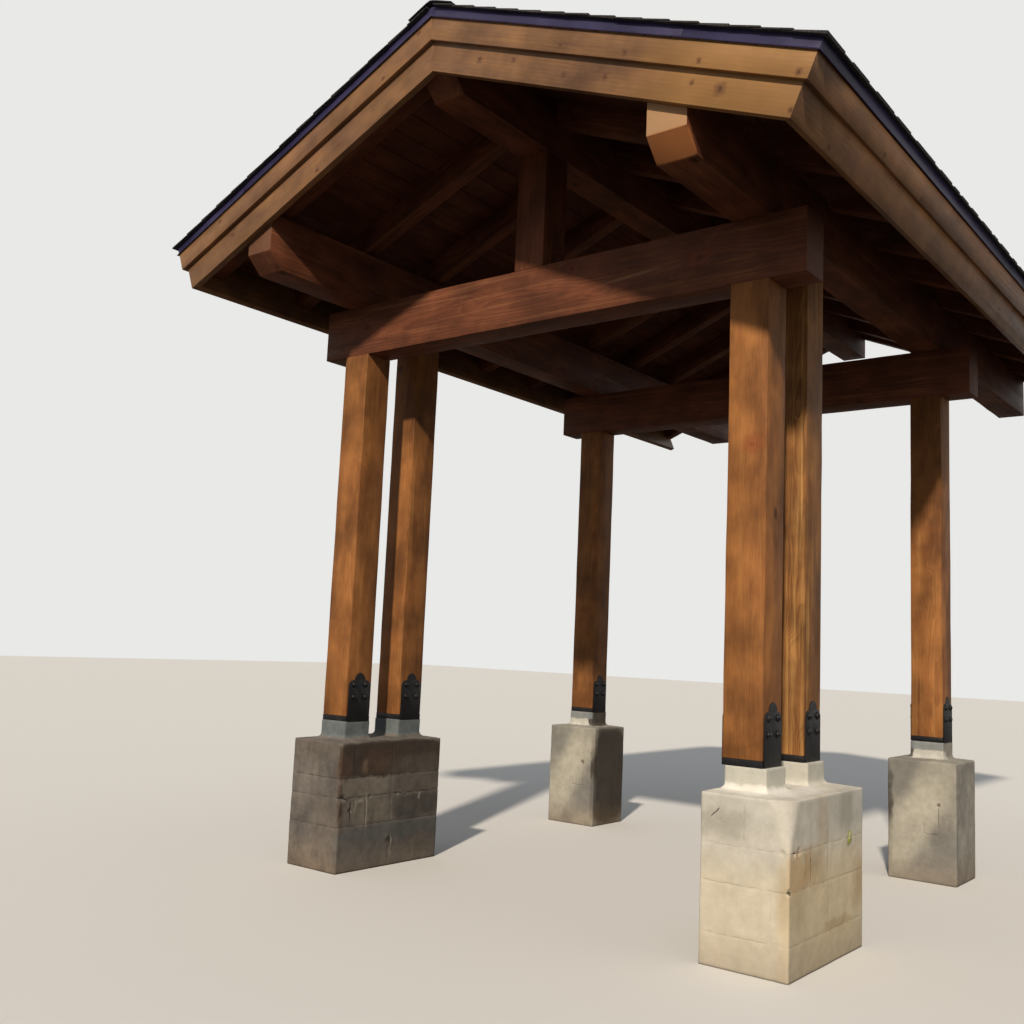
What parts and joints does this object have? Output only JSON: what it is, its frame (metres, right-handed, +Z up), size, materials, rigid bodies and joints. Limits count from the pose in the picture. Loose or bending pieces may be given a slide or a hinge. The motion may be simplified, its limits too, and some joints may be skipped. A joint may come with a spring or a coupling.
{
  "type": "porch canopy",
  "caption": "Free-standing timber porch canopy with a gabled shingle roof on square posts, steel post bases and masonry piers, open below, its back end set against a house wall.",
  "frame": {"origin": "centre of the canopy's plan at ground level, under its piers", "axes": "+X to the right seen from the front, +Y back towards the house wall, +Z up"},
  "size_m": [3.997, 5.61, 4.3775],
  "materials": {
    "masonry": "smooth mortar coat over concrete block, matte",
    "black_steel": "black powder coat, semi-matte",
    "post_timber": "rough-sawn timber with a red-brown stain, sun-bleached",
    "beam_timber": "rough-sawn timber with a red-brown stain",
    "roof_boards": "stained tongue and groove boards",
    "sheathing": "bare plywood",
    "trim_boards": "tan stained boards, satin",
    "drip_metal": "coated sheet metal, satin",
    "asphalt_shingle": "mineral granules on asphalt, matte"
  },
  "bodies": {
    "root": {"pier_front_left": "masonry", "pier_front_right": "masonry", "pier_rear_left": "masonry", "pier_rear_right": "masonry", "base_front_left": "black_steel", "base_second_left": "black_steel", "base_rear_left": "black_steel", "base_front_right": "black_steel", "base_second_right": "black_steel", "base_rear_right": "black_steel", "post_front_left": "post_timber", "post_second_left": "post_timber", "post_rear_left": "post_timber", "post_front_right": "post_timber", "post_second_right": "post_timber", "post_rear_right": "post_timber", "front_tie_beam": "beam_timber", "rear_tie_beam": "beam_timber", "left_side_beam": "beam_timber", "right_side_beam": "beam_timber", "ridge_beam": "beam_timber", "front_king_post": "beam_timber", "rear_king_post": "beam_timber", "left_rafters": "beam_timber", "right_rafters": "beam_timber", "left_decking": "roof_boards", "right_decking": "roof_boards", "left_sheathing": "sheathing", "right_sheathing": "sheathing", "left_rake_lower": "trim_boards", "right_rake_lower": "trim_boards", "left_rake_upper": "trim_boards", "right_rake_upper": "trim_boards", "left_eave_lower": "trim_boards", "right_eave_lower": "trim_boards", "left_eave_upper": "trim_boards", "right_eave_upper": "trim_boards", "left_rake_drip": "drip_metal", "right_rake_drip": "drip_metal", "left_eave_drip": "drip_metal", "right_eave_drip": "drip_metal", "left_shingles": "asphalt_shingle", "right_shingles": "asphalt_shingle", "ridge_cap": "asphalt_shingle"}
  },
  "joints": []
}
